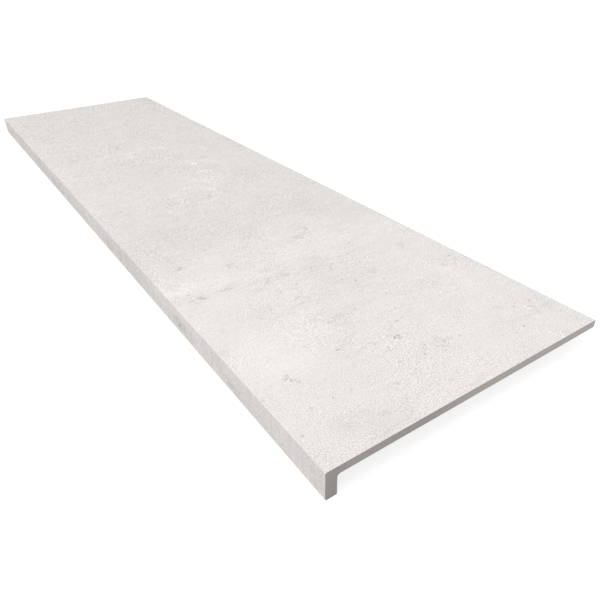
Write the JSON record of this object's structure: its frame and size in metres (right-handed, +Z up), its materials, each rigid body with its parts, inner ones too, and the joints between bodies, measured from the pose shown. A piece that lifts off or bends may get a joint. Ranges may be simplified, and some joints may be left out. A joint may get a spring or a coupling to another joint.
{
  "type": "stair tread tile",
  "caption": "Long flat porcelain stair tread tile with a square nose turned down along its front edge, bedded over the edge of a step.",
  "frame": {"origin": "under the middle of the tile, at the height of the foot of the nose", "axes": "+X along the step, +Y from the nose to the back edge, +Z up out of the walking surface"},
  "size_m": [1.2, 0.33, 0.03],
  "materials": {
    "porcelain": "matte"
  },
  "bodies": {
    "root": {"tread_tile": "porcelain"}
  },
  "joints": []
}
